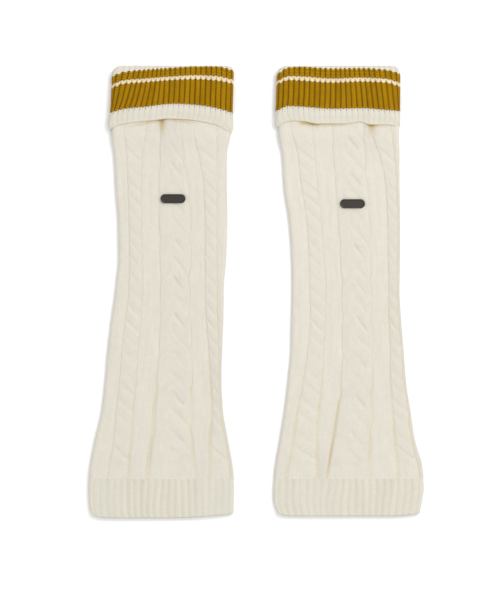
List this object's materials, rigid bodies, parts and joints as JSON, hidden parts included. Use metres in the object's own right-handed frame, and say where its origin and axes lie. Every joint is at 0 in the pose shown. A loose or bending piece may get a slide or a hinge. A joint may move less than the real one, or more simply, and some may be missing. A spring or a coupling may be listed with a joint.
{
  "type": "pair of leg warmers",
  "caption": "Cable-knit leg warmers with a striped, turned-down ribbed top and a ribbed hem, laid flat side by side.",
  "frame": {"origin": "centre of the bounding box's underside, on the surface that the pair lies on, midway between the two warmers", "axes": "+X across the pair from the left to the right warmer, +Y up their length from the hems to the turned-down tops, +Z up from the surface"},
  "size_m": [0.335, 0.451, 0.0125],
  "materials": {
    "cream_knit": "matt cable-knitted yarn",
    "striped_rib": "matt ribbed yarn, mustard with cream stripes",
    "cream_rib": "matt ribbed yarn",
    "gunmetal": "dark polished plating"
  },
  "bodies": {
    "root": {"left_leg": "cream_knit", "left_cuff": "striped_rib", "left_hem": "cream_rib", "left_badge": "gunmetal", "right_leg": "cream_knit", "right_cuff": "striped_rib", "right_hem": "cream_rib", "right_badge": "gunmetal"}
  },
  "joints": []
}
